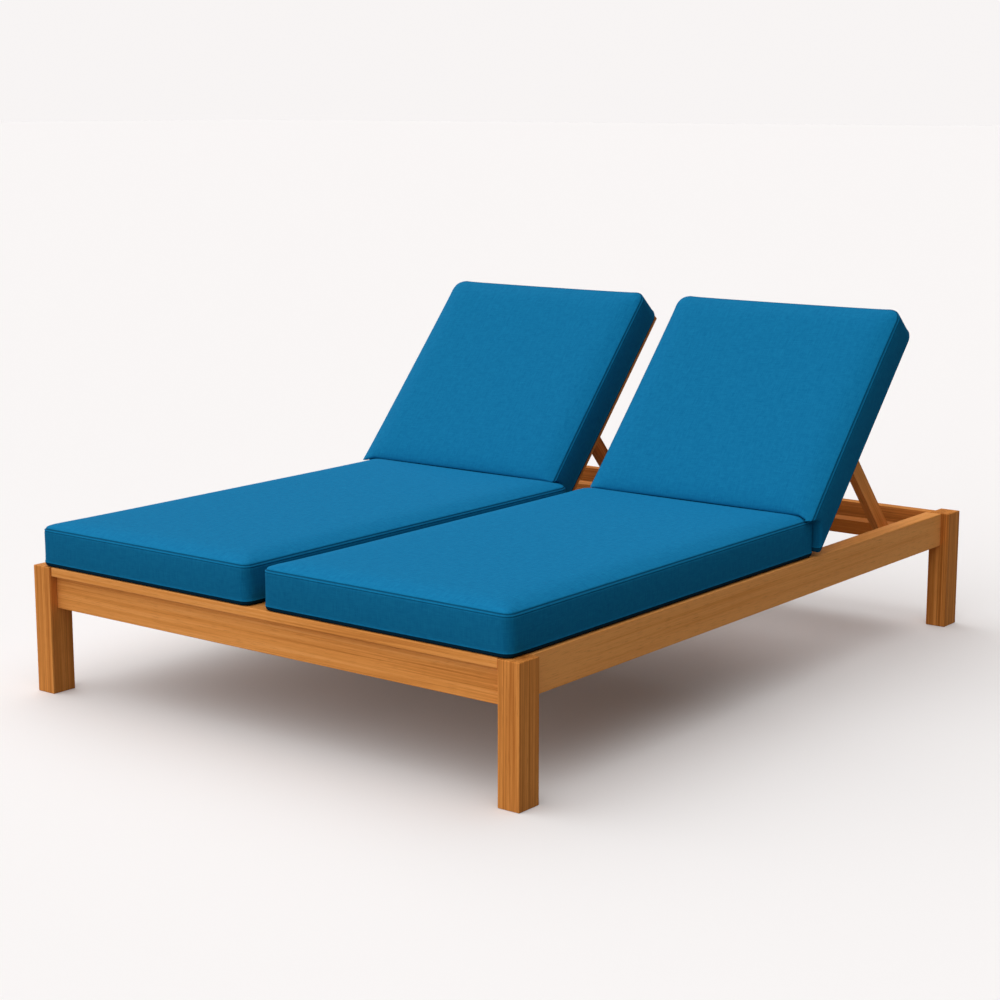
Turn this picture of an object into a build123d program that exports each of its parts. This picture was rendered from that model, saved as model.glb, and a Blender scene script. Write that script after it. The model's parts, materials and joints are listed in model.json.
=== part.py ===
from build123d import *
import math
import os

# Double chaise lounger: a hardwood frame for two, with two tilting backs and loose box cushions.
# Millimetres. X is the width, +Y points to the head end, +Z is up, and the origin is on the floor
# under the middle of the frame. The right half lies at +X and the left half is its mirror image.

# Overall sizes
frame_length = 2000.0
frame_width = 1480.0
leg_height = 316.0
edge_ease = 2.0
right_angle = 90.0

# Legs
leg_width = 56.0
leg_depth = 68.0

# Side rails, set in from the legs' outer faces
side_rail_set_in = 22.0
side_rail_thickness = 46.0
side_rail_height = 89.0
rail_drop = 1.0
tenon_spacing = 1.0
side_tenon_thickness = 14.0
side_tenon_height = 60.0

# Foot rail and head rail, between the legs
foot_rail_set_in = 22.0
foot_rail_thickness = 28.0
foot_rail_height = 82.0
head_rail_set_in = 30.0
head_rail_thickness = 30.0
end_tenon_length = 22.0
end_tenon_thickness = 14.0
end_tenon_height = 56.0

# Platform slats and what carries them
slat_thickness = 22.0
slat_count = 12
slat_gap = 18.0
slat_end_clearance = 0.3
foot_slat_width = 60.0
foot_slat_set_in = 4.0
foot_slat_end_gap = 3.0
foot_slat_to_first_slat = 10.0
ledger_width = 30.0
ledger_height = 30.0
centre_rail_thickness = 44.0
centre_rail_height = 68.0
screw_diameter = 4.5
screw_head_diameter = 8.5
screw_head_height = 3.0
screw_length = 42.0
screw_clearance = 0.1
screw_row_share = 0.27

# Backs: a framed panel of slats on two hinges
hinge_axis_below_top = 10.0
recline_angle = 48.0
beam_width = 34.0
beam_height = 28.0
panel_length = 685.0
panel_front_gap = 5.0
panel_end_gap = 6.0
gap_between_panels = 124.0
panel_side_gap = 4.0
panel_thickness = 28.0
stile_width = 46.0
stile_bevel = 18.0
panel_rail_width = 46.0
middle_rail_width = 62.0
panel_slat_width = 46.0
panel_slat_thickness = 14.0
panel_tenon_length = 12.0
panel_tenon_thickness = 12.0
panel_tenon_shoulder = 6.0
lower_slat_count = 5
upper_slat_count = 3

# Butt hinges
hinge_length = 64.0
hinge_inset = 110.0
knuckle_count = 3
knuckle_radius = 4.0
knuckle_gap = 0.3
leaf_thickness = 2.0
leaf_set_up = 1.7
hinge_pin_radius = 2.0
pin_clearance = 0.05

# Props: two struts and a stretcher, which swing on bolts under the panel
pivot_along_panel = 394.0
fold_clearance = 1.0
strut_depth = 41.0
strut_thickness = 22.0
strut_tilt = 48.2
outer_strut_set_in = 47.0
inner_strut_set_in = 158.0
stretcher_from_pivot = 150.0
stretcher_radius = 12.0
stretcher_socket = 12.0
block_length = 60.0
block_below_pivot = 18.5
block_thickness = 22.0
block_corner = 12.0
pivot_bolt_radius = 4.0
bolt_head_radius = 7.0
bolt_head_sides = 6
bolt_head_height = 5.5
nut_height = 6.5
bolt_clearance = 0.05
side_play = 1.0

# Prop rail, with a bevelled front for the struts' feet
prop_rail_height = 34.0
prop_rail_top_width = 51.0
prop_rail_bevel = 67.0
prop_rail_to_head_rail = 67.7
rest_gap = 0.3

# Cushions
cushion_clearance = 0.3
gap_between_seats = 40.0
seat_side_set_in = 3.0
seat_front_set_in = 1.0
seat_to_hinge = 4.0
back_cushion_inner_overhang = 8.0
back_cushion_side_overhang = 68.0
back_cushion_end_overhang = 17.0
back_cushion_toe = 44.0
cushion_seam_height = 89.0
cushion_crown = 15.0
cushion_corner = 30.0
cushion_side_draw = 5.0
cushion_tuck = 10.0
cushion_roll = 12.0
cushion_shoulder = 70.0
cushion_flat_inset = 200.0
tuck_end_share = 0.2
side_middle_share = 0.5
seam_inset_share = 0.3
slack_share = 0.5
roll_height_share = 0.45
shoulder_height_share = 0.8

# Places that follow from the sizes above
half_length = frame_length / 2
half_width = frame_width / 2
leg_inner_x = half_width - leg_width
leg_inner_y = half_length - leg_depth
rail_top = leg_height - rail_drop
rail_low = rail_top - side_rail_height
rail_outer_x = half_width - side_rail_set_in
rail_inner_x = rail_outer_x - side_rail_thickness
slat_low = leg_height - slat_thickness
foot_rail_front = -half_length + foot_rail_set_in
foot_rail_back = foot_rail_front + foot_rail_thickness
head_rail_back = half_length - head_rail_set_in
head_rail_front = head_rail_back - head_rail_thickness
centre_half = centre_rail_thickness / 2
panel_end = leg_inner_y - panel_end_gap
panel_start = panel_end - panel_length
panel_low = leg_height - panel_thickness
panel_inner_edge = gap_between_panels / 2
panel_outer_edge = rail_inner_x - panel_side_gap
hinge_axis_y = panel_start - panel_front_gap
hinge_axis_z = leg_height - hinge_axis_below_top
beam_back = hinge_axis_y - panel_front_gap
beam_front = beam_back - beam_width
beam_low = slat_low - beam_height
stile_inner_low = panel_inner_edge + stile_width
stile_outer_low = panel_outer_edge - stile_width
middle_rail_start = hinge_axis_y + pivot_along_panel - middle_rail_width / 2
middle_rail_end = middle_rail_start + middle_rail_width
pivot_y = hinge_axis_y + pivot_along_panel
pivot_z = beam_low - fold_clearance - strut_depth / 2
outer_strut_face = panel_outer_edge - outer_strut_set_in
inner_strut_face = panel_inner_edge + inner_strut_set_in
first_slat_start = -half_length + foot_slat_set_in + foot_slat_width + foot_slat_to_first_slat
panel_swing_radius = math.hypot(panel_front_gap, hinge_axis_below_top)
last_slat_end = hinge_axis_y - panel_swing_radius - slat_end_clearance
slat_width = (last_slat_end - first_slat_start - slat_gap * (slat_count - 1)) / slat_count
slat_half_span = rail_inner_x - slat_end_clearance
prop_rail_top = panel_low - rest_gap
prop_rail_low = prop_rail_top - prop_rail_height
prop_rail_back = head_rail_front - prop_rail_to_head_rail
prop_rail_top_front = prop_rail_back - prop_rail_top_width
cushion_low = leg_height + cushion_clearance
seat_inner_edge = gap_between_seats / 2
seat_outer_edge = rail_outer_x - seat_side_set_in
seat_rear = hinge_axis_y - seat_to_hinge
back_inner_edge = panel_inner_edge - back_cushion_inner_overhang
back_outer_edge = panel_outer_edge + back_cushion_side_overhang
back_cushion_end = panel_end + back_cushion_end_overhang

os.makedirs("parts", exist_ok=True)


def block(low, high):
    """Plain box from its low corner to its high corner."""
    size = [top - bottom for bottom, top in zip(low, high)]
    middle = [(top + bottom) / 2 for bottom, top in zip(low, high)]
    return Pos(*middle) * Box(*size)


def plank(low, high):
    """Sawn piece of wood with its edges eased."""
    solid = block(low, high)
    return fillet(solid.edges(), edge_ease)


def rod(low_x, high_x, y, z, radius):
    """Round bar along X."""
    middle = (low_x + high_x) / 2
    return Pos(middle, y, z) * Rot(0, right_angle, 0) * Cylinder(radius, high_x - low_x)


def raised(shape):
    """Turns a piece of a flat back up about its hinge axis."""
    to_axis = Pos(0, -hinge_axis_y, -hinge_axis_z)
    return Pos(0, hinge_axis_y, hinge_axis_z) * Rot(recline_angle, 0, 0) * to_axis * shape


def raised_pivot():
    """Where the raised back holds the prop's pivot, as Y and Z."""
    point = raised(Pos(0, pivot_y, pivot_z) * Vertex(0, 0, 0)).center()
    return point.Y, point.Z


def on_side(shape, side):
    """The right half as it is, or its mirror image for the left half."""
    if side == "left":
        return mirror(shape, about=Plane.YZ)
    return shape


def write(name, shape):
    export_step(shape, f"parts/{name}.step")


def group(shapes):
    """Several loose solids of one kind, kept as separate solids."""
    return Compound([solid for shape in shapes for solid in shape.solids()])


def side_tenon(end):
    """Tenon of the right side rail into its front leg (end -1) or rear leg (end 1)."""
    half = side_tenon_thickness / 2
    centre_x = (max(rail_inner_x, leg_inner_x) + rail_outer_x) / 2
    low = (rail_low + rail_top - side_tenon_height) / 2
    head_tenon_front = (head_rail_front + head_rail_back - end_tenon_thickness) / 2
    near = end * leg_inner_y
    far = end * (head_tenon_front - tenon_spacing)
    return block(
        (centre_x - half, min(near, far), low),
        (centre_x + half, max(near, far), low + side_tenon_height),
    )


def end_tenon(front, back, low, high):
    """Tenon at the right end of the foot rail or head rail, into the leg."""
    start_y = (front + back - end_tenon_thickness) / 2
    start_z = (low + high - end_tenon_height) / 2
    return block(
        (leg_inner_x, start_y, start_z),
        (leg_inner_x + end_tenon_length, start_y + end_tenon_thickness, start_z + end_tenon_height),
    )


def foot_rail_tenon():
    return end_tenon(foot_rail_front, foot_rail_back, slat_low - foot_rail_height, slat_low)


def head_rail_tenon():
    return end_tenon(head_rail_front, head_rail_back, rail_low, rail_top)


def make_leg(end):
    """Right leg, front (end -1) or rear (end 1), with its two mortises."""
    near = end * leg_inner_y
    far = end * half_length
    leg = block((leg_inner_x, min(near, far), 0), (half_width, max(near, far), leg_height))
    leg = fillet(leg.edges(), edge_ease)
    end_joint = foot_rail_tenon() if end < 0 else head_rail_tenon()
    return leg - side_tenon(end) - end_joint


def make_side_rail():
    """Right side rail, tenoned into both legs."""
    rail = plank((rail_inner_x, -leg_inner_y, rail_low), (rail_outer_x, leg_inner_y, rail_top))
    return rail + side_tenon(-1) + side_tenon(1)


def make_end_rail(front, back, low, high, tenon):
    """Foot rail or head rail, with a tenon at each end."""
    rail = plank((-leg_inner_x, front, low), (leg_inner_x, back, high))
    return rail + tenon + mirror(tenon, about=Plane.YZ)


def make_foot_slat():
    """Thin strip on the foot rail, between the front legs."""
    front = -half_length + foot_slat_set_in
    reach = leg_inner_x - foot_slat_end_gap
    return plank((-reach, front, slat_low), (reach, front + foot_slat_width, leg_height))


def slat_start(index):
    return first_slat_start + index * (slat_width + slat_gap)


def screw_places():
    """Every slat screw's place: two in each slat over each ledger and over the centre rail."""
    ledger_middle = rail_inner_x - ledger_width / 2
    places = []
    for index in range(slat_count):
        middle = slat_start(index) + slat_width / 2
        for x in (-ledger_middle, 0, ledger_middle):
            for row in (-1, 1):
                places.append((x, middle + row * screw_row_share * slat_width))
    return places


def screw_shape(x, y, radial_room, end_room):
    """Countersunk screw, or the room for it where a clearance is given."""
    head_low = leg_height - screw_head_height - end_room
    tip = leg_height - screw_length - end_room
    shank = Pos(x, y, (tip + leg_height) / 2) * Cylinder(screw_diameter / 2 + radial_room, leg_height - tip)
    head = Pos(x, y, (head_low + leg_height) / 2) * Cone(
        screw_diameter / 2 + radial_room,
        screw_head_diameter / 2 + radial_room,
        leg_height - head_low,
    )
    return shank + head


def screw_rooms(keep):
    """The rooms of the screws whose place passes the test."""
    return [screw_shape(x, y, screw_clearance, screw_clearance) for x, y in screw_places() if keep(x, y)]


def make_slat(index):
    """Platform slat across the frame, drilled for its screws."""
    start = slat_start(index)
    end = start + slat_width
    slat = plank((-slat_half_span, start, slat_low), (slat_half_span, end, leg_height))
    return slat - screw_rooms(lambda x, y: start < y < end)


def make_ledger():
    """Batten on the right side rail's inner face, which carries the slats' ends."""
    ledger = plank(
        (rail_inner_x - ledger_width, foot_rail_back, slat_low - ledger_height),
        (rail_inner_x, beam_front, slat_low),
    )
    return ledger - screw_rooms(lambda x, y: x > 0)


def make_centre_rail():
    """Rail down the middle, from the foot rail to the head rail."""
    low = slat_low - centre_rail_height
    rail = plank((-centre_half, foot_rail_back, low), (centre_half, head_rail_front, slat_low))
    return rail - screw_rooms(lambda x, y: x == 0)


def make_hinge_beam():
    """Short cross rail that carries the last slat's end and the right back's hinges."""
    beam = plank((centre_half, beam_front, beam_low), (rail_inner_x, beam_back, slat_low))
    return beam - screw_rooms(lambda x, y: x > 0 and y > slat_start(slat_count - 1))


def strut_length():
    """From a strut's pivot to the middle of its foot, just clear of the prop rail's bevel."""
    y, z = raised_pivot()
    tilt = math.radians(strut_tilt)
    bevel = math.radians(prop_rail_bevel)
    bevel_lean = (z - prop_rail_top) / math.tan(bevel)
    reach = prop_rail_top_front - rest_gap / math.sin(bevel) + bevel_lean - y
    return reach / (math.cos(tilt) + math.sin(tilt) / math.tan(bevel))


def make_prop_rail():
    """Cross rail under the right back, bevelled in front where the struts' feet stand."""
    bevel_lean = prop_rail_height / math.tan(math.radians(prop_rail_bevel))
    outline = Polyline(
        (prop_rail_top_front - bevel_lean, prop_rail_low),
        (prop_rail_back, prop_rail_low),
        (prop_rail_back, prop_rail_top),
        (prop_rail_top_front, prop_rail_top),
        close=True,
    )
    profile = Plane.YZ.offset(centre_half) * make_face(outline)
    return extrude(profile, rail_inner_x - centre_half)


def slats_in_bay(start, end, count):
    """Low Y of each panel slat, evenly spaced in one bay of the panel."""
    gap = (end - start - count * panel_slat_width) / (count + 1)
    return [start + gap + index * (panel_slat_width + gap) for index in range(count)]


def panel_slat_starts():
    lower = slats_in_bay(panel_start + panel_rail_width, middle_rail_start, lower_slat_count)
    upper = slats_in_bay(middle_rail_end, panel_end - panel_rail_width, upper_slat_count)
    return lower + upper


def panel_rail_places():
    """Low and high Y of the hinge rail, the middle rail and the top rail, with the panel flat."""
    return {
        "hinge_rail": (panel_start, panel_start + panel_rail_width),
        "middle_rail": (middle_rail_start, middle_rail_end),
        "top_rail": (panel_end - panel_rail_width, panel_end),
    }


def rail_tenons(start, end):
    """The two tenons of a panel rail, into the stiles."""
    low = (panel_low + leg_height - panel_tenon_thickness) / 2
    high = low + panel_tenon_thickness
    first = start + panel_tenon_shoulder
    last = end - panel_tenon_shoulder
    inner = block((stile_inner_low - panel_tenon_length, first, low), (stile_inner_low, last, high))
    outer = block((stile_outer_low, first, low), (stile_outer_low + panel_tenon_length, last, high))
    return [inner, outer]


def panel_slat_room(start):
    """A panel slat with the ends that are housed in the stiles."""
    return block(
        (stile_inner_low - panel_tenon_length, start, leg_height - panel_slat_thickness),
        (stile_outer_low + panel_tenon_length, start + panel_slat_width, leg_height),
    )


def make_stile(low_x, free_side):
    """Long side piece of the panel, bevelled below on its free side, with its housings."""
    stile = block((low_x, panel_start, panel_low), (low_x + stile_width, panel_end, leg_height))
    low_edges = stile.edges().filter_by(Axis.Y).group_by(Axis.Z)[0].sort_by(Axis.X)
    stile = chamfer(low_edges[-1] if free_side > 0 else low_edges[0], stile_bevel)
    stile = fillet(stile.edges(), edge_ease)
    for start, end in panel_rail_places().values():
        stile = stile - rail_tenons(start, end)
    return stile - [panel_slat_room(start) for start in panel_slat_starts()]


def make_panel_rail(start, end):
    """Cross rail of the panel."""
    rail = plank((stile_inner_low, start, panel_low), (stile_outer_low, end, leg_height))
    return rail + rail_tenons(start, end)


def knuckle_spans(centre_x):
    """Start and end of each of the hinge's knuckles along X."""
    pitch = (hinge_length + knuckle_gap) / knuckle_count
    first = centre_x - hinge_length / 2
    starts = [first + index * pitch for index in range(knuckle_count)]
    return [(start, start + pitch - knuckle_gap) for start in starts]


def make_leaf(centre_x, low_y, spans):
    """Flat hinge leaf with its knuckles, bored for the pin."""
    plate_top = hinge_axis_z - knuckle_radius - knuckle_gap
    leaf = block(
        (centre_x - hinge_length / 2, low_y, beam_low + leaf_set_up),
        (centre_x + hinge_length / 2, low_y + leaf_thickness, plate_top),
    )
    for start, end in spans:
        riser = block((start, low_y, plate_top - knuckle_gap), (end, low_y + leaf_thickness, hinge_axis_z))
        leaf = leaf + riser + rod(start, end, hinge_axis_y, hinge_axis_z, knuckle_radius)
    first, last = centre_x - hinge_length / 2, centre_x + hinge_length / 2
    return leaf - rod(first, last, hinge_axis_y, hinge_axis_z, hinge_pin_radius + pin_clearance)


def hinge_centres():
    return [panel_inner_edge + hinge_inset, panel_outer_edge - hinge_inset]


def make_frame_leaves():
    """Hinge leaves on the right hinge beam."""
    return [make_leaf(x, beam_back, knuckle_spans(x)[0::2]) for x in hinge_centres()]


def make_back_leaves():
    """Hinge leaves on the panel's hinge rail, with the panel flat."""
    return [make_leaf(x, panel_start - leaf_thickness, knuckle_spans(x)[1::2]) for x in hinge_centres()]


def make_hinge_pins():
    half = hinge_length / 2
    return [rod(x - half, x + half, hinge_axis_y, hinge_axis_z, hinge_pin_radius) for x in hinge_centres()]


def strut_spans():
    """Low and high X of the inner and the outer strut of the right prop."""
    return [
        (inner_strut_face, inner_strut_face + strut_thickness),
        (outer_strut_face - strut_thickness, outer_strut_face),
    ]


def block_spans():
    """Low and high X of the pivot blocks, each between its strut and the panel's middle."""
    inner_low = inner_strut_face + strut_thickness + side_play
    outer_high = outer_strut_face - strut_thickness - side_play
    return [(inner_low, inner_low + block_thickness), (outer_high - block_thickness, outer_high)]


def make_pivot_block(span):
    """Wooden block under the middle rail, bored for the pivot bolt, with the panel flat."""
    low = pivot_z - block_below_pivot
    start = pivot_y - block_length / 2
    solid = block((span[0], start, low), (span[1], start + block_length, panel_low))
    lower_edges = solid.edges().filter_by(Axis.X).group_by(Axis.Z)[0]
    solid = fillet(lower_edges, block_corner)
    return solid - rod(span[0], span[1], pivot_y, pivot_z, pivot_bolt_radius + bolt_clearance)


def hexagon(start, length, direction, radius):
    """Hexagonal head or nut on the pivot's line, from a start along X."""
    profile = Plane.YZ.offset(start) * Pos(pivot_y, pivot_z) * RegularPolygon(radius, bolt_head_sides)
    return extrude(profile, direction * length)


def make_pivot_bolts():
    """Bolts and nuts of the right prop's pivots, with the panel flat."""
    solids = []
    for direction, (low, high), (strut_low, strut_high) in zip((1, -1), block_spans(), strut_spans()):
        far = high if direction > 0 else low
        near = strut_low if direction > 0 else strut_high
        nut_start = near - direction * side_play / 2
        tip = nut_start - direction * nut_height
        shank = rod(min(far, tip), max(far, tip), pivot_y, pivot_z, pivot_bolt_radius)
        head = hexagon(far, bolt_head_height, direction, bolt_head_radius)
        nut = hexagon(nut_start, nut_height, -direction, bolt_head_radius)
        bore_radius = pivot_bolt_radius + bolt_clearance
        bore = rod(min(nut_start, tip), max(nut_start, tip), pivot_y, pivot_z, bore_radius)
        solids.append(shank + head)
        solids.append(nut - bore)
    return solids


def stand_prop(shape):
    """Puts a prop's piece, drawn along +Y from its pivot at the origin, where it stands at rest."""
    y, z = raised_pivot()
    return Pos(0, y, z) * Rot(-strut_tilt, 0, 0) * shape


def make_strut(span, stretcher_side):
    """Strut with a round head at the pivot and a foot cut to the prop rail's bevel."""
    length = strut_length()
    reach = length + strut_depth
    half = strut_depth / 2
    bar = block((span[0], 0, -half), (span[1], reach, half)) + rod(span[0], span[1], 0, 0, half)
    cut_angle = prop_rail_bevel - right_angle + strut_tilt
    cutter = block((span[0], 0, -reach), (span[1], reach, reach))
    bar = bar - Pos(0, length, 0) * Rot(cut_angle, 0, 0) * cutter
    bar = bar - rod(span[0], span[1], 0, 0, pivot_bolt_radius + bolt_clearance)
    socket_low = span[1] - stretcher_socket if stretcher_side > 0 else span[0]
    socket = rod(socket_low, socket_low + stretcher_socket, stretcher_from_pivot, 0, stretcher_radius)
    return stand_prop(bar - socket)


def make_stretcher():
    """Round bar that joins the two struts."""
    (inner_low, inner_high), (outer_low, outer_high) = strut_spans()
    low = inner_high - stretcher_socket
    high = outer_low + stretcher_socket
    return stand_prop(rod(low, high, stretcher_from_pivot, 0, stretcher_radius))


def drawn_side(start, end, middle, draw):
    """Side of a cushion: a long arc, or a line where nothing is drawn in."""
    if draw:
        return ThreePointArc(start, middle, end)
    return Line(start, end)


def cushion_outline(half_x, half_y, draw):
    """Cushion outline with round corners and sides drawn in by a long arc."""
    corner = cushion_corner
    lean = corner * math.sin(math.radians(right_angle / 2))
    edges = []
    for turn_x, turn_y in ((1, -1), (1, 1), (-1, 1), (-1, -1)):
        centre = (turn_x * (half_x - corner), turn_y * (half_y - corner))
        on_y = (centre[0], turn_y * half_y)
        on_x = (turn_x * half_x, centre[1])
        middle = (centre[0] + turn_x * lean, centre[1] + turn_y * lean)
        edges.append(ThreePointArc(on_y, middle, on_x))
    for side in (-1, 1):
        ends_x = half_x - corner
        ends_y = half_y - corner
        end = side * half_y
        edges.append(drawn_side((-ends_x, end), (ends_x, end), (0, side * (half_y - draw)), draw))
        end = side * half_x
        edges.append(drawn_side((end, -ends_y), (end, ends_y), (side * (half_x - draw), 0), draw))
    return make_face(Wire(edges))


def make_cushion(low_x, high_x, low_y, high_y, toe):
    """Box cushion with a tucked base, drawn-in sides, a rolled seam, a crown and perhaps a toe.

    The low Y is that of the base. With a toe, the low end leans back from the base up to the seam.
    """
    seam = cushion_seam_height
    draw = cushion_side_draw
    levels = [
        (0, cushion_tuck, 0),
        (cushion_tuck, cushion_tuck * tuck_end_share, draw * slack_share),
        (seam * side_middle_share, 0, draw),
        (seam, cushion_tuck * seam_inset_share, draw),
        (seam + cushion_crown * roll_height_share, cushion_roll, draw * slack_share),
        (seam + cushion_crown * shoulder_height_share, cushion_shoulder, 0),
        (seam + cushion_crown, cushion_flat_inset, 0),
    ]
    half_x = (high_x - low_x) / 2
    half_y = (high_y - low_y) / 2
    sections = []
    for height, inset, level_draw in levels:
        lean = toe * min(height / seam, 1) / 2
        outline = cushion_outline(half_x - inset, half_y - inset - lean, level_draw)
        sections.append(Pos(0, lean, height) * outline)
    solid = loft(sections, ruled=True)
    return Pos((low_x + high_x) / 2, (low_y + high_y) / 2, cushion_low) * solid


def make_seat_cushion():
    low_y = -half_length + seat_front_set_in
    return make_cushion(seat_inner_edge, seat_outer_edge, low_y, seat_rear, 0)


def back_cushion_start():
    """Low Y of the back cushion with its panel flat: it just clears the seat cushion when raised."""
    turn = math.radians(recline_angle)
    edge_y = seat_rear - cushion_tuck * seam_inset_share - hinge_axis_y
    edge_z = cushion_low + cushion_seam_height - hinge_axis_z
    edge_along = edge_y * math.cos(turn) + edge_z * math.sin(turn)
    edge_height = edge_z * math.cos(turn) - edge_y * math.sin(turn) - cushion_low + hinge_axis_z
    toe_there = back_cushion_toe * min(edge_height / cushion_seam_height, 1)
    return hinge_axis_y + edge_along - toe_there + cushion_clearance


def make_back_cushion():
    """Back cushion on its panel, with the panel flat."""
    start = back_cushion_start()
    return make_cushion(back_inner_edge, back_outer_edge, start, back_cushion_end, back_cushion_toe)


def write_frame():
    """Pieces of the fixed frame."""
    foot_low = slat_low - foot_rail_height
    write("foot_rail", make_end_rail(foot_rail_front, foot_rail_back, foot_low, slat_low, foot_rail_tenon()))
    write("head_rail", make_end_rail(head_rail_front, head_rail_back, rail_low, rail_top, head_rail_tenon()))
    write("foot_slat", make_foot_slat())
    write("centre_rail", make_centre_rail())
    for index in range(slat_count):
        write(f"seat_slat_{index + 1:02d}", make_slat(index))
    write("slat_screws", group([screw_shape(x, y, 0, 0) for x, y in screw_places()]))
    leaves = make_frame_leaves()
    pins = make_hinge_pins()
    write("frame_hinge_leaves", group(leaves + [on_side(leaf, "left") for leaf in leaves]))
    write("hinge_pins", group(pins + [on_side(pin, "left") for pin in pins]))
    pieces = {
        "leg_front": make_leg(-1),
        "leg_rear": make_leg(1),
        "side_rail": make_side_rail(),
        "ledger_batten": make_ledger(),
        "hinge_beam": make_hinge_beam(),
        "prop_rail": make_prop_rail(),
        "seat_cushion": make_seat_cushion(),
    }
    for side in ("left", "right"):
        for name, piece in pieces.items():
            write(f"{name}_{side}", on_side(piece, side))


def write_backs():
    """Pieces of the two tilting backs."""
    pieces = {
        "back_stile_inner": make_stile(panel_inner_edge, -1),
        "back_stile_outer": make_stile(stile_outer_low, 1),
        "back_slats": group([panel_slat_room(start) for start in panel_slat_starts()]),
        "back_hinge_leaves": group(make_back_leaves()),
        "pivot_blocks": group([make_pivot_block(span) for span in block_spans()]),
        "pivot_bolts": group(make_pivot_bolts()),
        "back_cushion": make_back_cushion(),
    }
    for name, (start, end) in panel_rail_places().items():
        pieces[f"back_{name}"] = make_panel_rail(start, end)
    for side in ("left", "right"):
        for name, piece in pieces.items():
            write(f"{name}_{side}", on_side(raised(piece), side))


def write_props():
    """Pieces of the two props."""
    inner, outer = strut_spans()
    pieces = {
        "prop_strut_inner": make_strut(inner, 1),
        "prop_strut_outer": make_strut(outer, -1),
        "prop_stretcher": make_stretcher(),
    }
    for side in ("left", "right"):
        for name, piece in pieces.items():
            write(f"{name}_{side}", on_side(piece, side))


write_frame()
write_backs()
write_props()
print("hinge axis at Y and Z:", hinge_axis_y, hinge_axis_z)
print("raised prop pivot at Y and Z:", *raised_pivot())
print("strut length:", strut_length())
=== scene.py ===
# %% [markdown]
# # A double chaise lounger
# The wooden frame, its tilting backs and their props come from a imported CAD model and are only
# given their finishes here. The four cushions are modelled in this file, because cloth over foam
# is soft. The first step loads the frame, which sits at its real place and size, in metres, and
# keeps its box.

# %% Load the frame
import json
import math

import bpy
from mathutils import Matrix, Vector


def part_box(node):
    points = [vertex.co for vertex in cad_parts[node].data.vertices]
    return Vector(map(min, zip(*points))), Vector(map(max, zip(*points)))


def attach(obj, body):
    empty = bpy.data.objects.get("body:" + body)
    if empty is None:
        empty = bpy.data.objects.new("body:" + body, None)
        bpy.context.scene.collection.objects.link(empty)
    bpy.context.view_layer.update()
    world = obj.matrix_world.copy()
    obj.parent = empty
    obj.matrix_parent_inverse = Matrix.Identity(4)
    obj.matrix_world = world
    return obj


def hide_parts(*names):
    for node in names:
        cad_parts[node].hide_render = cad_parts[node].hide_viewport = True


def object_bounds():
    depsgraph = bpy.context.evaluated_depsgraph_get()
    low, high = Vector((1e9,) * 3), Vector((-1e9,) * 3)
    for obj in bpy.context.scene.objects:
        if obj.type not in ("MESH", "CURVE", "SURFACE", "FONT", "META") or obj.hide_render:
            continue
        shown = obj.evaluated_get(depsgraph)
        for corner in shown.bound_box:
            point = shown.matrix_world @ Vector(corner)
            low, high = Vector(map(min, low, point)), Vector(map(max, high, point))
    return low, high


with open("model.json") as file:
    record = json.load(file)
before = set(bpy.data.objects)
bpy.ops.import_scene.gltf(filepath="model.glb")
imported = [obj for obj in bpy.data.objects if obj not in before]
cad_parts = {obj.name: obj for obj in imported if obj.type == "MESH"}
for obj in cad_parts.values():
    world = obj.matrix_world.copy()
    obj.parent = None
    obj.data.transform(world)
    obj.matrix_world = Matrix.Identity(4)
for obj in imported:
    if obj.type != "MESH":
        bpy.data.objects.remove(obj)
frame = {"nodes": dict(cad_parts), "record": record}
cad_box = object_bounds()
box_corners = [tuple(round(value, 3) for value in corner) for corner in cad_box]
print(len(frame["nodes"]), "pieces from CAD, box", box_corners)

# %% [markdown]
# The camera stands in front and to the right of the lounger, 1.4 m above the floor, with a long
# lens. Its place was worked out from the frame's corners and the cushions' outlines in the
# picture, so that the known sizes of the frame fall where they do there.

# %% Camera
sensor_width = 36.0
lens_length = 75.42
camera_place = (3.1912, -4.2349, 1.4276)
camera_tilt = -0.1895
camera_heading = 0.6580

camera_turn = (math.pi / 2 + camera_tilt, 0, camera_heading)
bpy.ops.object.camera_add(location=camera_place, rotation=camera_turn)
camera = bpy.context.object
camera.name = "studio_camera"
camera.data.sensor_width = sensor_width
camera.data.lens = lens_length
bpy.context.scene.camera = camera
print("lens", lens_length, "mm")

# %% [markdown]
# The studio light is one very wide lamp high up at the front left and a dim sky all round. The
# wide lamp gives the soft shadow under the frame that leans to the right. The floor is a plain
# pale sheet, and what the camera sees behind it has the same shade, so no line shows where the
# floor ends. Only the camera sees the floor that pale. To the furniture it is darker, as a real
# studio's far floor is, or it would throw so much light back up that the cushions' shaded sides
# would go flat. A small share of the seen floor glows, which stands for the light that a real
# studio throws in under the frame.

# %% Light and floor
lamp_from = Vector((-0.48, -0.42, 0.88))
lamp_distance = 10.0
lamp_strength = 3.68
lamp_spread = math.radians(140)
sky_shade = 0.06
floor_shade = (0.929, 0.902, 0.897)
floor_bounce_shade = 0.32
floor_glow_share = 0.04
floor_glow = (1.00, 0.94, 0.88, 1)
floor_side = 200.0

bpy.context.scene.view_settings.view_transform = "Standard"
lamp_turn = lamp_from.to_track_quat("Z", "Y").to_euler()
bpy.ops.object.light_add(type="SUN", location=lamp_from * lamp_distance, rotation=lamp_turn)
lamp = bpy.context.object
lamp.name = "studio_lamp"
lamp.data.energy = lamp_strength
lamp.data.angle = lamp_spread
floor_light = sky_shade + lamp_strength * lamp_from.normalized().z / math.pi
print("light on the floor", round(floor_light, 3))


# %% [markdown]
# Every finish here is a small net of shader nodes. Two classes keep it readable: a recipe adds
# the nodes of one material, and a signal is one value in it that can be added, subtracted and
# multiplied as an ordinary number can, which puts in the Math nodes.

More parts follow.
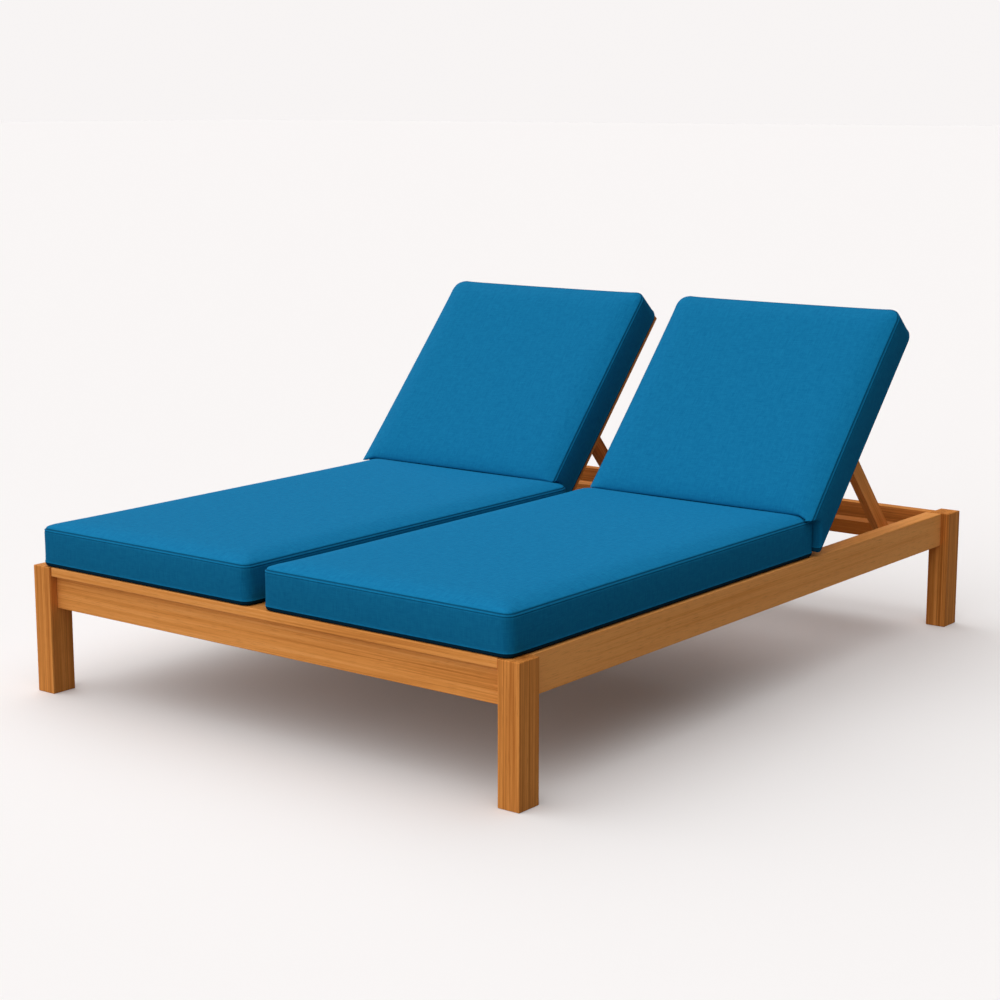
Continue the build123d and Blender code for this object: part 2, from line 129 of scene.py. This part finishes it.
# %% Helpers for finishes
# Numbers of the colour sockets on a Mix node
mix_share, mix_low, mix_high = 0, 6, 7
mix_result = 2


class Signal:
    """A value in a recipe. Arithmetic with it adds Math nodes."""

    def __init__(self, recipe, socket):
        self.recipe = recipe
        self.socket = socket

    def math(self, operation, *values):
        return self.recipe.add("ShaderNodeMath", {"operation": operation}, dict(enumerate(values)))

    def __add__(self, other):
        return self.math("ADD", self, other)

    def __radd__(self, other):
        return self.math("ADD", other, self)

    def __sub__(self, other):
        return self.math("SUBTRACT", self, other)

    def __rsub__(self, other):
        return self.math("SUBTRACT", other, self)

    def __mul__(self, other):
        return self.math("MULTIPLY", self, other)

    def __rmul__(self, other):
        return self.math("MULTIPLY", other, self)

    def step(self, low, high):
        """0 below low, 1 above high and smooth between them."""
        values = {"Value": self, "From Min": low, "From Max": high}
        return self.recipe.add("ShaderNodeMapRange", {"interpolation_type": "SMOOTHSTEP"}, values)


class Recipe:
    """The nodes of one material, or of the sky."""

    def __init__(self, owner):
        owner.use_nodes = True
        self.owner = owner
        self.tree = owner.node_tree
        self.tree.nodes.clear()

    def add(self, kind, settings=None, values=None, output=0):
        """Adds a node: its settings first, then the values or signals of its sockets."""
        node = self.tree.nodes.new(kind)
        for name, setting in (settings or {}).items():
            if name == "stops":
                while len(node.color_ramp.elements) < len(setting):
                    node.color_ramp.elements.new(1)
                for element, (place, colour) in zip(node.color_ramp.elements, setting):
                    element.position = place
                    element.color = (*colour, 1)
            else:
                setattr(node, name, setting)
        for name, value in (values or {}).items():
            if isinstance(value, Signal):
                self.tree.links.new(value.socket, node.inputs[name])
            else:
                node.inputs[name].default_value = value
        return Signal(self, node.outputs[output]) if node.outputs else None

    def mix_colours(self, share, low, high):
        """Colour between two."""
        values = {mix_share: share, mix_low: low, mix_high: high}
        return self.add("ShaderNodeMix", {"data_type": "RGBA"}, values, output=mix_result)

    def mix_shaders(self, share, low, high):
        """Shader between two."""
        return self.add("ShaderNodeMixShader", {}, {0: share, 1: low, 2: high})

    def bump(self, strength, depth, height):
        """Surface direction that follows a height."""
        values = {"Strength": strength, "Distance": depth, "Height": height}
        return self.add("ShaderNodeBump", {}, values)

    def stretch(self, place, sizes):
        """Place times a size along each axis."""
        return self.add("ShaderNodeVectorMath", {"operation": "MULTIPLY"}, {0: place, 1: sizes})

    def noise(self, place, detail=2.0):
        return self.add("ShaderNodeTexNoise", {}, {"Vector": place, "Scale": 1.0, "Detail": detail})

    def finish(self, shader, kind="ShaderNodeOutputMaterial"):
        self.add(kind, {}, {"Surface": shader})
        return self.owner


def material(name):
    return Recipe(bpy.data.materials.new(name))


# %% [markdown]
# The sky has two shades: the one that lights the furniture, and the one that the camera sees. The
# floor's seen shade times the light that falls on it gives the seen sky.

# %% Sky and floor finishes
sky = Recipe(bpy.context.scene.world or bpy.data.worlds.new("studio"))
bpy.context.scene.world = sky.owner
seen_by_camera = sky.add("ShaderNodeLightPath")
dim = sky.add("ShaderNodeBackground", {}, {"Color": (1, 1, 1, 1), "Strength": sky_shade})
seen = sky.add("ShaderNodeBackground", {}, {"Color": (*floor_shade, 1), "Strength": floor_light})
sky.finish(sky.mix_shaders(seen_by_camera, dim, seen), "ShaderNodeOutputWorld")

paper = material("floor_paper")
seen_by_camera = paper.add("ShaderNodeLightPath")
bounce = paper.add("ShaderNodeBsdfDiffuse", {}, {"Color": (floor_bounce_shade,) * 3 + (1,)})
pale = paper.add("ShaderNodeBsdfDiffuse", {}, {"Color": (*floor_shade, 1)})
glow = paper.add("ShaderNodeEmission", {}, {"Color": floor_glow, "Strength": floor_light})
glowing = paper.mix_shaders(floor_glow_share, pale, glow)
floor_finish = paper.finish(paper.mix_shaders(seen_by_camera, bounce, glowing))

bpy.ops.mesh.primitive_plane_add(size=floor_side)
floor = bpy.context.object
floor.name = "studio_floor"
floor.data.materials.append(floor_finish)
print("floor", floor_side, "m wide")


# %% [markdown]
# The frame is an oiled orange-brown hardwood. Its look has four scales: slow drifts of tone over
# a whole board, a broad figure, fine growth lines, and pores, which are short dark dashes. All
# four are noise that is stretched along the board. So each board first has its own place turned
# until its grain runs along Y, and is moved a little, so that no two boards have the same figure.
# Boards also differ in tone, as boards from one pile do.

# %% Wood
wood_light = (0.90, 0.385, 0.108)
wood_middle = (0.78, 0.298, 0.066)
wood_dark = (0.47, 0.146, 0.024)
pore_colour = (0.30, 0.088, 0.014, 1)
drift_size = (4.0, 0.7, 4.0)
figure_size = (56.0, 0.9, 56.0)
line_size = (280.0, 2.4, 280.0)
pore_size = (1150.0, 26.0, 1150.0)
wood_stops = ((0.36, wood_dark), (0.48, wood_middle), (0.60, wood_light))
figure_share = 0.29
line_share = 0.32
drift_share = 0.20
tone_base = 0.09
pore_edges = (0.58, 0.72)
pore_least = 0.15
pore_by_line = 0.4
grain_depth = 0.00035
grain_strength = 0.5
line_height = 0.6
wood_roughness = 0.46
line_roughness = 0.16
pore_roughness = 0.2
wood_specular = 0.06
board_shift = Vector((0.37, 1.93, 0.71))
tone_steps = (0.0, 0.035, -0.03, 0.018, -0.045, 0.05, -0.012)


def make_wood(number, turn, painted_light_tone):
    """Wood of one board, by its number, the turn that lays its grain along Y, and the painted light
    or shade given to its kind of board.
    """
    recipe = material(f"oiled_wood_{number:02d}")
    place = recipe.add("ShaderNodeTexCoord", output="Object")
    moved = {"Vector": place, "Location": board_shift * number, "Rotation": turn}
    place = recipe.add("ShaderNodeMapping", {}, moved)
    drift = recipe.noise(recipe.stretch(place, drift_size), 1.0)
    figure = recipe.noise(recipe.stretch(place, figure_size), 3.0)
    lines = recipe.noise(recipe.stretch(place, line_size), 2.0)
    pores = recipe.noise(recipe.stretch(place, pore_size), 1.0)
    # Painted light and shade: the shift for the kind of board is added to the board's own random
    # tone step.
    board_tone_and_painted_light = tone_base + painted_light_tone + tone_steps[number % len(tone_steps)]
    tone = figure * figure_share + lines * line_share + drift * drift_share + board_tone_and_painted_light
    colour = recipe.add("ShaderNodeValToRGB", {"stops": wood_stops}, {0: tone})
    pore_mask = pores.step(*pore_edges) * (pore_least + pore_by_line * lines)
    values = {
        "Base Color": recipe.mix_colours(pore_mask, colour, pore_colour),
        "Roughness": wood_roughness + line_roughness * lines + pore_roughness * pore_mask,
        "Specular IOR Level": wood_specular,
        "Normal": recipe.bump(grain_strength, grain_depth, lines * line_height - pore_mask),
    }
    return recipe.finish(recipe.add("ShaderNodeBsdfPrincipled", {}, values))


# %% [markdown]
# Screws, hinges and bolts are brushed stainless steel. The brushing is noise stretched along X,
# the way the hinges lie, and it changes the roughness and the surface a little.

# %% Steel
steel_shade = (0.52, 0.52, 0.53, 1)
brush_size = (60.0, 2600.0, 2600.0)
brush_depth = 0.00005
brush_strength = 0.2
steel_roughness = 0.28
brush_roughness = 0.2

recipe = material("brushed_steel")
place = recipe.add("ShaderNodeTexCoord", output="Object")
brush = recipe.noise(recipe.stretch(place, brush_size), 2.0)
values = {
    "Base Color": steel_shade,
    "Metallic": 1.0,
    "Roughness": steel_roughness + brush_roughness * brush,
    "Normal": recipe.bump(brush_strength, brush_depth, brush),
}
steel = recipe.finish(recipe.add("ShaderNodeBsdfPrincipled", {}, values))
print("steel made")

# %% [markdown]
# Each CAD piece keeps its mesh and only changes its material. The grain's direction follows how the
# board is used: across the lounger in the slats and cross rails, along it in the side rails, up the
# legs, and along the tilted boards of the backs and props. Some kinds of board are made lighter or
# darker than the rest. This was set against the picture, and it is painted light and shade, not the
# wood's own tone: the side rails are lighter, which is painted light on their lit sides, and the
# legs, the head rail, the stiles and the props with their rails are darker, which is painted shade.

# %% Dress the frame
reclined = math.radians(48.0)
prop_lean = math.radians(-48.2)
across = (0, 0, math.pi / 2)
along = (0, 0, 0)
upright = (-math.pi / 2, 0, 0)
along_back = (-reclined, 0, 0)
along_prop = (-prop_lean, 0, 0)
grain_of = {
    "leg": upright,
    "side_rail": along,
    "ledger": along,
    "centre_rail": along,
    "back_stile": along_back,
    "pivot_blocks": along_back,
    "prop_strut": along_prop,
}
# Painted light and shade for each kind of board: the side rails lighter, the others darker.
painted_light_tone_by = {
    "leg": -0.05,
    "head_rail": -0.12,
    "prop_rail": -0.12,
    "prop_s": -0.06,
    "back_stile": -0.06,
    "side_rail": 0.065,
}
slot_of = {part["node"]: part["material_slot"] for part in frame["record"]["subparts"]}


def by_start(table, node, usual):
    """What a table holds for the kind of board that a node's name starts with."""
    return next((value for start, value in table.items() if node.startswith(start)), usual)


def dress(node, finish):
    """Gives a CAD piece its finish through its material slots."""
    piece = frame["nodes"][node]
    for place in piece.material_slots:
        place.material = finish


wooden = sorted(node for node, slot in slot_of.items() if slot == "frame_wood")
for number, node in enumerate(wooden):
    dress(node, make_wood(number, by_start(grain_of, node, across), by_start(painted_light_tone_by, node, 0.0)))
for node, slot in slot_of.items():
    if slot == "hardware":
        dress(node, steel)
print(len(wooden), "boards dressed")


# %% [markdown]
# The cushions are firm foam in a sewn cover: a top panel, a base panel and a band round the
# sides, joined by two seams. Each starts as a box that is a little smaller than the finished
# cushion. Its standing corners are rounded with a bevel, each by its own size, because where two
# cushions meet they press each other out of shape. Then the top edge is rounded, which rolls over
# to the seam, and the base edge. Planes that cut the box about every 18 mm give the cloth
# something to bend at.

# %% Cushion blanks
tiny = 1e-5
corner_steps = 5
round_profile = 0.5
top_roll = 0.018
base_roll = 0.009
roll_steps = 4
cloth_step = 0.018


def only(piece):
    """Makes one piece the only one selected, and the active one."""
    bpy.ops.object.select_all(action="DESELECT")
    piece.select_set(True)
    bpy.context.view_layer.objects.active = piece


def select_edges(piece, wanted):
    """Selects the edges whose two ends pass the test, with everything else left out."""
    mesh = piece.data
    for element in (*mesh.vertices, *mesh.edges, *mesh.polygons):
        element.select = False
    for edge in mesh.edges:
        edge.select = wanted(*(mesh.vertices[index].co for index in edge.vertices))


def round_edges(piece, wanted, offset, steps):
    only(piece)
    select_edges(piece, wanted)
    bpy.ops.object.mode_set(mode="EDIT")
    bpy.ops.mesh.select_mode(type="EDGE")
    bpy.ops.mesh.bevel(offset=offset, segments=steps, profile=round_profile, affect="EDGES")
    bpy.ops.object.mode_set(mode="OBJECT")


def cut(piece, axis, places):
    """Cuts a piece by planes across one axis."""
    only(piece)
    bpy.ops.object.mode_set(mode="EDIT")
    for place in places:
        point = [0.0, 0.0, 0.0]
        point[axis] = place
        normal = [0.0, 0.0, 0.0]
        normal[axis] = 1.0
        bpy.ops.mesh.select_all(action="SELECT")
        bpy.ops.mesh.bisect(plane_co=point, plane_no=normal)
    bpy.ops.object.mode_set(mode="OBJECT")


def stands_at(corner):
    """Test for the standing edge at a corner, which is given by its X and Y."""
    place = Vector(corner)
    return lambda a, b: max((a.xy - place).length, (b.xy - place).length) < tiny


def make_blank(name, low, high, corner_sizes):
    """Rounded box to sew the cover to. Its corner sizes go round from low X and low Y."""
    bpy.ops.mesh.primitive_cube_add(size=1, location=(low + high) / 2, scale=high - low)
    blank = bpy.context.object
    blank.name = name
    bpy.ops.object.transform_apply(location=True, rotation=True, scale=True)
    corners = [(low.x, low.y), (high.x, low.y), (high.x, high.y), (low.x, high.y)]
    for corner, size in zip(corners, corner_sizes):
        round_edges(blank, stands_at(corner), size, corner_steps)
    round_edges(blank, lambda a, b: min(a.z, b.z) > high.z - tiny, top_roll, roll_steps)
    round_edges(blank, lambda a, b: max(a.z, b.z) < low.z + tiny, base_roll, roll_steps)
    for axis in (0, 1, 2):
        count = math.ceil((high[axis] - low[axis]) / cloth_step)
        spacing = (high[axis] - low[axis]) / count
        cut(blank, axis, [low[axis] + spacing * index for index in range(1, count)])
    print(name, len(blank.data.vertices), "points")
    return blank


# %% [markdown]
# The stuffing is simulated: the cover is cloth with air pressure inside. The base stays where it
# is, because it lies on the slats. The top seam is stiffer than the panels, so it moves less. How
# far a point may move is capped, and the cap is soft, so that no edge shows where it starts to
# work.

# %% Stuffing
stuffing_pressure = 7.0
stuffing_frames = 20
crown_height = 0.010
side_swell = 0.003
cloth_quality = 5
base_hold = 1.0
seam_hold = 0.6


def hold(piece, low, seam_height):
    """The share by which each point is held: all of the base, and most of the top seam."""
    held = piece.vertex_groups.new(name="held")
    for point in piece.data.vertices:
        height = point.co.z - low.z
        if height < base_roll:
            held.add([point.index], base_hold, "REPLACE")
        elif abs(height - seam_height) < cloth_step / 2:
            held.add([point.index], seam_hold, "REPLACE")
    return held.name


def soft_cap(length, most):
    return most * math.tanh(length / most)


def stuff(piece, low, seam_height):
    """Blows the cover up, and applies the result within its caps."""
    before = [point.co.copy() for point in piece.data.vertices]
    held = hold(piece, low, seam_height)
    only(piece)
    bpy.ops.object.modifier_add(type="CLOTH")
    cloth = piece.modifiers[0]
    cloth.settings.quality = cloth_quality
    cloth.settings.vertex_group_mass = held
    cloth.settings.use_pressure = True
    cloth.settings.uniform_pressure_force = stuffing_pressure
    cloth.settings.effector_weights.gravity = 0
    cloth.collision_settings.use_collision = False
    for step in range(1, stuffing_frames + 1):
        bpy.context.scene.frame_set(step)
    bpy.ops.object.modifier_apply(modifier=cloth.name)
    bpy.context.scene.frame_set(1)
    most = 0
    for point, start in zip(piece.data.vertices, before):
        moved = point.co - start
        most = max(most, moved.length)
        up = soft_cap(moved.z, crown_height)
        out = Vector((moved.x, moved.y, 0))
        if out.length > 0:
            out = out * (soft_cap(out.length, side_swell) / out.length)
        point.co = start + out + Vector((0, 0, up))
    piece.vertex_groups.clear()
    print(piece.name, "moved up to", round(most * 1000, 1), "mm before the cap")


# %% [markdown]
# The seams come after the stuffing. Each is a narrow fold of cloth that stands out. Planes cut the
# cover along every line of it, and each line is then pushed out or pulled in. The top seam's fold
# lies between two grooves, which have a darker finish that is painted shade, and the fold has a
# finish lighter than the band, which is a painted highlight. The base seam has no grooves: under it
# the cover turns in under the cushion, and that tuck has the darkest finish, which is painted shade
# under the cushion.

# %% Seams
fold_half = 0.0011
fold_lift = 0.0011
upper_groove = (0.0028, 0.0020)
lower_groove = (0.0024, 0.0012)
groove_side = 0.0048
top_seam_drop = 0.012
base_seam_height = 0.0120
same_height = 0.0003
smooth_angle = math.radians(50)
soft_levels = 1
# Numbers of a cover's finishes after the first, which is the panels': painted shade on the band, a
# painted highlight on the fold, and painted shade in the grooves and the tuck
painted_shade_band, painted_highlight_fold, painted_shade_groove, painted_shade_tuck = range(1, 5)


def push_ring(piece, height, distance):
    """Moves one ring of points in or out along the surface."""
    only(piece)
    select_edges(piece, lambda a, b: max(abs(a.z - height), abs(b.z - height)) < same_height)
    bpy.ops.object.mode_set(mode="EDIT")
    bpy.ops.mesh.select_mode(type="EDGE")
    bpy.ops.transform.shrink_fatten(value=distance)
    bpy.ops.object.mode_set(mode="OBJECT")


def mark_cloth(piece, low_z, high_z, which):
    """Gives the faces between two heights another of the cover's finishes."""
    for face in piece.data.polygons:
        if low_z < face.center.z < high_z:
            face.material_index = which


def sew(piece, height, has_grooves):
    """A seam round the cover: a fold between two grooves, or a fold with a tuck under it."""
    up, up_depth = upper_groove
    down, down_depth = lower_groove
    lines = [groove_side, up, fold_half, -fold_half, -down, -groove_side]
    cut(piece, 2, [height + line for line in lines])
    # Painted highlight: the fold gets a finish lighter than the band.
    mark_cloth(piece, height - fold_half, height + fold_half, painted_highlight_fold)
    if has_grooves:
        # Painted shade: the grooves on each side of the fold get a darker finish.
        mark_cloth(piece, height + fold_half, height + groove_side, painted_shade_groove)
        mark_cloth(piece, height - down - fold_half, height - fold_half, painted_shade_groove)
        push_ring(piece, height + up, -up_depth)
        push_ring(piece, height - down, -down_depth)
    else:
        # Painted shade: the tuck under the base seam gets the darkest finish.
        mark_cloth(piece, height - base_seam_height, height - fold_half, painted_shade_tuck)
    push_ring(piece, height + fold_half, fold_lift)
    push_ring(piece, height - fold_half, fold_lift)


def soften(piece):
    """Rounds the whole cover and smooths its shading."""
    only(piece)
    bpy.ops.object.modifier_add(type="SUBSURF")
    soft = piece.modifiers[0]
    soft.levels = soft.render_levels = soft_levels
    bpy.ops.object.modifier_apply(modifier=soft.name)
    bpy.ops.object.shade_smooth_by_angle(angle=smooth_angle)


# %% [markdown]
# The cover is a plain woven outdoor cloth in a medium blue. Threads run along and across each
# panel, so the weave needs the panel's own directions: a box projection lays the cover out flat in
# metres before the back cushion is tilted. Each thread is a little lighter or darker than the next,
# which gives the fine heather of the real cloth. The parts of a cover have their own shades. These
# were set against the picture's shading and are not taken from the cloth, and they are painted
# light and shade. The bands, the grooves and the tuck under the base seam are darker than the
# panels, which is painted shade. The fold along the top seam is lighter than the band round it,
# which is a painted highlight. The back covers are darker than the seat covers, which is painted
# shade.

# %% Cloth
cloth_light = Vector((0.0075, 0.213, 0.428))
cloth_deep = Vector((0.0015, 0.142, 0.325))
# Painted light and shade: each cut's share of the cloth's colour, and the tuck's share for the seat
# and back covers. The band, grooves and tucks are darker as painted shade, and the fold is lighter
# than the band as a painted highlight.
painted_light_by_cut = {"panel": 1.0, "band": 0.73, "fold": 0.95, "groove": 0.48}
seat_tuck_painted_shade = 0.10
back_tuck_painted_shade = 0.30
# Painted shade: the back covers are made darker than the seat covers.
back_painted_shade = 0.90
thread_pitch = 0.0014
thread_depth = 0.00018
thread_strength = 0.6
over_edges = (-0.25, 0.25)
slub_size_along = (700.0, 28.0, 1.0)
slub_size_across = (28.0, 700.0, 1.0)
cloud_size = (90.0, 90.0, 1.0)
slub_share = 0.35
cloud_share = 0.2
thread_share = 0.18
cloth_tone_edges = (0.36, 0.74)
slub_height = 0.4
cloth_roughness = 0.84
thread_roughness = 0.1
cloth_specular = 0.05


def make_cloth(name, shade):
    """Woven blue cloth, in the plain shade times a share, which is painted light or shade."""
    recipe = material(name)
    laid = recipe.add("ShaderNodeTexCoord", output="UV")
    split = recipe.add("ShaderNodeSeparateXYZ", {}, {0: laid})
    other = Signal(recipe, split.socket.node.outputs["Y"])
    turns = math.pi / thread_pitch
    warp = (split * turns).math("SINE", split * turns)
    weft = (other * turns).math("SINE", other * turns)
    over = (warp * weft).step(*over_edges)
    threads = over * warp.math("ABSOLUTE", warp) + (1 - over) * weft.math("ABSOLUTE", weft)
    slub_along = recipe.noise(recipe.stretch(laid, slub_size_along))
    slub_across = recipe.noise(recipe.stretch(laid, slub_size_across))
    cloud = recipe.noise(recipe.stretch(laid, cloud_size))
    tone = slub_along * slub_share + slub_across * slub_share + cloud * cloud_share
    tone = tone + threads * thread_share
    deep, light = (*(cloth_deep * shade), 1), (*(cloth_light * shade), 1)
    height = threads + slub_along * slub_height + slub_across * slub_height
    values = {
        "Base Color": recipe.mix_colours(tone.step(*cloth_tone_edges), deep, light),
        "Roughness": cloth_roughness + thread_roughness * threads,
        "Specular IOR Level": cloth_specular,
        "Normal": recipe.bump(thread_strength, thread_depth, height),
    }
    return recipe.finish(recipe.add("ShaderNodeBsdfPrincipled", {}, values))


def lay_out(piece):
    """Lays the cover out flat in metres."""
    only(piece)
    bpy.ops.object.mode_set(mode="EDIT")
    bpy.ops.mesh.select_all(action="SELECT")
    bpy.ops.uv.cube_project(cube_size=1.0, correct_aspect=False)
    bpy.ops.object.mode_set(mode="OBJECT")


def make_cover_set(name, shade, tuck_painted_shade):
    """The cloth of each cut of a cover, each with its painted light or shade, in the order of the
    faces' numbers.
    """
    painted_light_shares = {**painted_light_by_cut, "tuck": tuck_painted_shade}
    return [make_cloth(f"{name}_{part}", shade * share) for part, share in painted_light_shares.items()]


seat_cover = make_cover_set("seat_canvas", 1, seat_tuck_painted_shade)
back_cover = make_cover_set("back_canvas", back_painted_shade, back_tuck_painted_shade)

# %% [markdown]
# The right seat and back cushions are made first. The seat's width and length come from the box
# of its CAD solid. The back cushion is made flat and tilted about the hinge with its panel in the
# next step, so the box of its CAD solid is of no use for its size, and its own sizes are given
# here.

# %% Cushions
start_small = Vector((0.002, 0.002, 0.0))
cushion_base = 0.3163
seat_height = 0.101
back_height = 0.098
hinge_line = Vector((0, 0.236, 0.306))
seat_rear_swell = 0.005
back_low = Vector((0.054, 0.268, cushion_base))
back_high = Vector((0.735, 0.943, cushion_base + back_height))
seat_corners = (0.022, 0.022, 0.010, 0.040)
back_corners = (0.010, 0.008, 0.036, 0.032)


def make_cushion(name, low, high, corner_sizes, cover):
    low = low + start_small
    high = high - start_small
    cushion = make_blank(name, low, high, corner_sizes)
    for finish in cover:
        cushion.data.materials.append(finish)
    top_seam = high.z - low.z - top_seam_drop
    stuff(cushion, low, top_seam)
    # Painted shade: the band round the sides gets a darker finish than the top and base panels.
    mark_cloth(cushion, low.z + base_seam_height, low.z + top_seam, painted_shade_band)
    sew(cushion, low.z + top_seam, True)
    sew(cushion, low.z + base_seam_height, False)
    soften(cushion)
    lay_out(cushion)
    return cushion


seat_low, seat_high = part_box("seat_cushion_right")
seat_low.z = cushion_base
seat_high.z = cushion_base + seat_height
seat_high.y += seat_rear_swell
seat = make_cushion("seat_cushion_soft_right", seat_low, seat_high, seat_corners, seat_cover)
back = make_cushion("back_cushion_soft_right", back_low, back_high, back_corners, back_cover)

# %% [markdown]
# The low end of the back cushion is pressed on by the seat cushion when the back is up. Its shape
# was set to look like the picture's, and it stays so when the back is laid flat: the base reaches
# down behind the seat cushion to the rail, the seat cushion's rear edge presses the end flat and
# upright, and above it the front edge bulges over the seat. It is also less where the back cushion
# stands out past the seat's side, with nothing to
# press on.

# %% Pressed end
press_reach = 0.16
press_heights = (0.0, 0.010, 0.034, 0.056, 0.063, 0.070, 0.086, 0.101)
press_moves = (-0.024, -0.0085, 0.0185, 0.0400, 0.0420, 0.0410, 0.0340, 0.0120)
relief_width = 0.025
relief_move = 0.013


def press_at(height):
    """How far the low end is pushed up the panel at a height over the base."""
    pairs = list(zip(press_heights, press_moves))
    for (low, low_move), (high, high_move) in zip(pairs, pairs[1:]):
        if height <= high:
            share = max(height - low, 0) / (high - low)
            return low_move + (high_move - low_move) * share
    return press_moves[-1]


def relief_at(place):
    """How much less the end is pushed near and past the seat's outer side."""
    outside = min(max(1 + (place.x - seat_high.x) / relief_width, 0), 1)
    return relief_move * outside * min((place.z - back_low.z) / back_height, 1) ** 2


for point in back.data.vertices:
    fade = 1 - (point.co.y - back_low.y) / press_reach
    if fade > 0:
        move = press_at(point.co.z - back_low.z) - relief_at(point.co)
        point.co.y += move * min(fade, 1) ** 2
only(back)
bpy.ops.object.mode_set(mode="EDIT")
bpy.ops.mesh.select_all(action="SELECT")
bpy.ops.transform.rotate(value=-reclined, orient_axis="X", center_override=hinge_line)
bpy.ops.object.mode_set(mode="OBJECT")
back_start = [min(point.co[axis] for point in back.data.vertices) for axis in (0, 1, 2)]
print("back cushion from", [round(value, 3) for value in back_start])

# %% [markdown]
# The left cushions are the mirror image of the right ones, each with its own mesh. A mirrored
# mesh is inside out, so its faces are turned round again. Each cushion then stands for its CAD
# solid and moves with the body that carries it.

# %% Pairs
bodies = {"seat_cushion": {"left": "frame", "right": "frame"},
          "back_cushion": {"left": "backrest_left", "right": "backrest_right"}}


def mirrored(piece, name):
    only(piece)
    bpy.ops.object.duplicate(linked=False)
    copy = bpy.context.object
    copy.name = name
    bpy.ops.object.mode_set(mode="EDIT")
    bpy.ops.mesh.select_all(action="SELECT")
    bpy.ops.transform.resize(value=(-1, 1, 1), center_override=(0, 0, 0))
    bpy.ops.mesh.normals_make_consistent(inside=False)
    bpy.ops.object.mode_set(mode="OBJECT")
    return copy


made = {
    "seat_cushion": {"right": seat, "left": mirrored(seat, "seat_cushion_soft_left")},
    "back_cushion": {"right": back, "left": mirrored(back, "back_cushion_soft_left")},
}
for kind, pair in made.items():
    for side, cushion in pair.items():
        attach(cushion, bodies[kind][side])
        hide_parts(f"{kind}_{side}")
        print(cushion.name, len(cushion.data.polygons), "faces")
